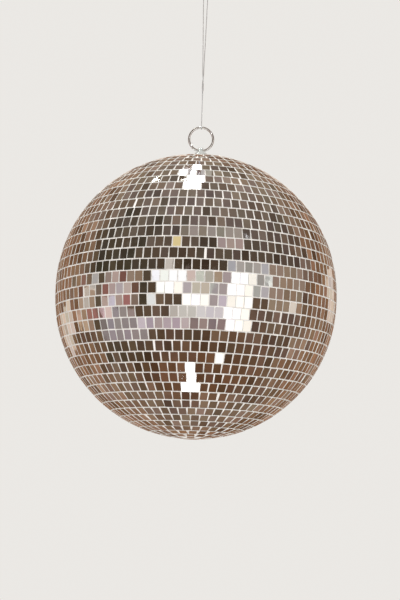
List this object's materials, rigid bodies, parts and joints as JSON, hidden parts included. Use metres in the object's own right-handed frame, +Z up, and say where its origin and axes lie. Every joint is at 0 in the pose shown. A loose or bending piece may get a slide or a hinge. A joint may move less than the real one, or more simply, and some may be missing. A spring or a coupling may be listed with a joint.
{
  "type": "mirror ball",
  "caption": "Ball faced with small rectangular mirror tiles, hung by a wire ring and a clear line from a ceiling hook; it spins on a swivel stud.",
  "frame": {"origin": "middle of the ceiling plate's mounting face, which lies against the ceiling; the ball hangs below it", "axes": "+Z up, out of the mounting face; +X along the hanging ring's face, to the right when the ring is seen face-on; +Y away from that viewer, along the hook's seat"},
  "size_m": [0.2002, 0.2, 0.3695],
  "materials": {
    "mirror_glass": "polished",
    "core": "matt",
    "adhesive": "matt",
    "cap_steel": "satin",
    "bright_steel": "polished",
    "plain_steel": "zinc plated",
    "chrome_wire": "polished",
    "nylon": "clear",
    "plate_paint": "satin",
    "hook_steel": "polished"
  },
  "bodies": {
    "ceiling": {"ceiling_plate": "plate_paint", "ceiling_hook": "hook_steel"},
    "line": {"line_cord": "nylon", "line_knot": "nylon"},
    "ring": {"hanging_ring": "chrome_wire"},
    "stud": {"swivel_stud": "bright_steel", "thrust_washer": "plain_steel", "lock_nut": "plain_steel"},
    "ball": {"mirror_row_lower_19": "mirror_glass", "mirror_row_lower_18": "mirror_glass", "mirror_row_lower_17": "mirror_glass", "mirror_row_lower_16": "mirror_glass", "mirror_row_lower_15": "mirror_glass", "mirror_row_lower_14": "mirror_glass", "mirror_row_lower_13": "mirror_glass", "mirror_row_lower_12": "mirror_glass", "mirror_row_lower_11": "mirror_glass", "mirror_row_lower_10": "mirror_glass", "mirror_row_lower_09": "mirror_glass", "mirror_row_lower_08": "mirror_glass", "mirror_row_lower_07": "mirror_glass", "mirror_row_lower_06": "mirror_glass", "mirror_row_lower_05": "mirror_glass", "mirror_row_lower_04": "mirror_glass", "mirror_row_lower_03": "mirror_glass", "mirror_row_lower_02": "mirror_glass", "mirror_row_lower_01": "mirror_glass", "mirror_row_equator": "mirror_glass", "mirror_row_upper_01": "mirror_glass", "mirror_row_upper_02": "mirror_glass", "mirror_row_upper_03": "mirror_glass", "mirror_row_upper_04": "mirror_glass", "mirror_row_upper_05": "mirror_glass", "mirror_row_upper_06": "mirror_glass", "mirror_row_upper_07": "mirror_glass", "mirror_row_upper_08": "mirror_glass", "mirror_row_upper_09": "mirror_glass", "mirror_row_upper_10": "mirror_glass", "mirror_row_upper_11": "mirror_glass", "mirror_row_upper_12": "mirror_glass", "mirror_row_upper_13": "mirror_glass", "mirror_row_upper_14": "mirror_glass", "mirror_row_upper_15": "mirror_glass", "mirror_row_upper_16": "mirror_glass", "mirror_row_upper_17": "mirror_glass", "mirror_row_upper_18": "mirror_glass", "bottom_mirror": "mirror_glass", "upper_shell": "core", "lower_shell": "core", "upper_adhesive_coat": "adhesive", "lower_adhesive_coat": "adhesive", "top_cap": "cap_steel", "backing_plate": "plain_steel", "stud_bush": "bright_steel", "bush_nut": "plain_steel"}
  },
  "joints": [
    {"name": "line_swing", "type": "hinge", "parent": "ceiling", "child": "line", "pos_m": [0, 0, -0.03], "axis": [0, 1, 0], "range_deg": [-45, 45]},
    {"name": "ring_tilt", "type": "hinge", "parent": "line", "child": "ring", "pos_m": [0, 0, -0.1446], "axis": [1, 0, 0], "range_deg": [-35, 35]},
    {"name": "stud_tilt", "type": "hinge", "parent": "ring", "child": "stud", "pos_m": [0, 0, -0.1619], "axis": [1, 0, 0], "range_deg": [-40, 40]},
    {"name": "ball_spin", "type": "hinge", "parent": "stud", "child": "ball", "pos_m": [0, 0, -0.17], "axis": [0, 0, 1], "continuous": true}
  ]
}
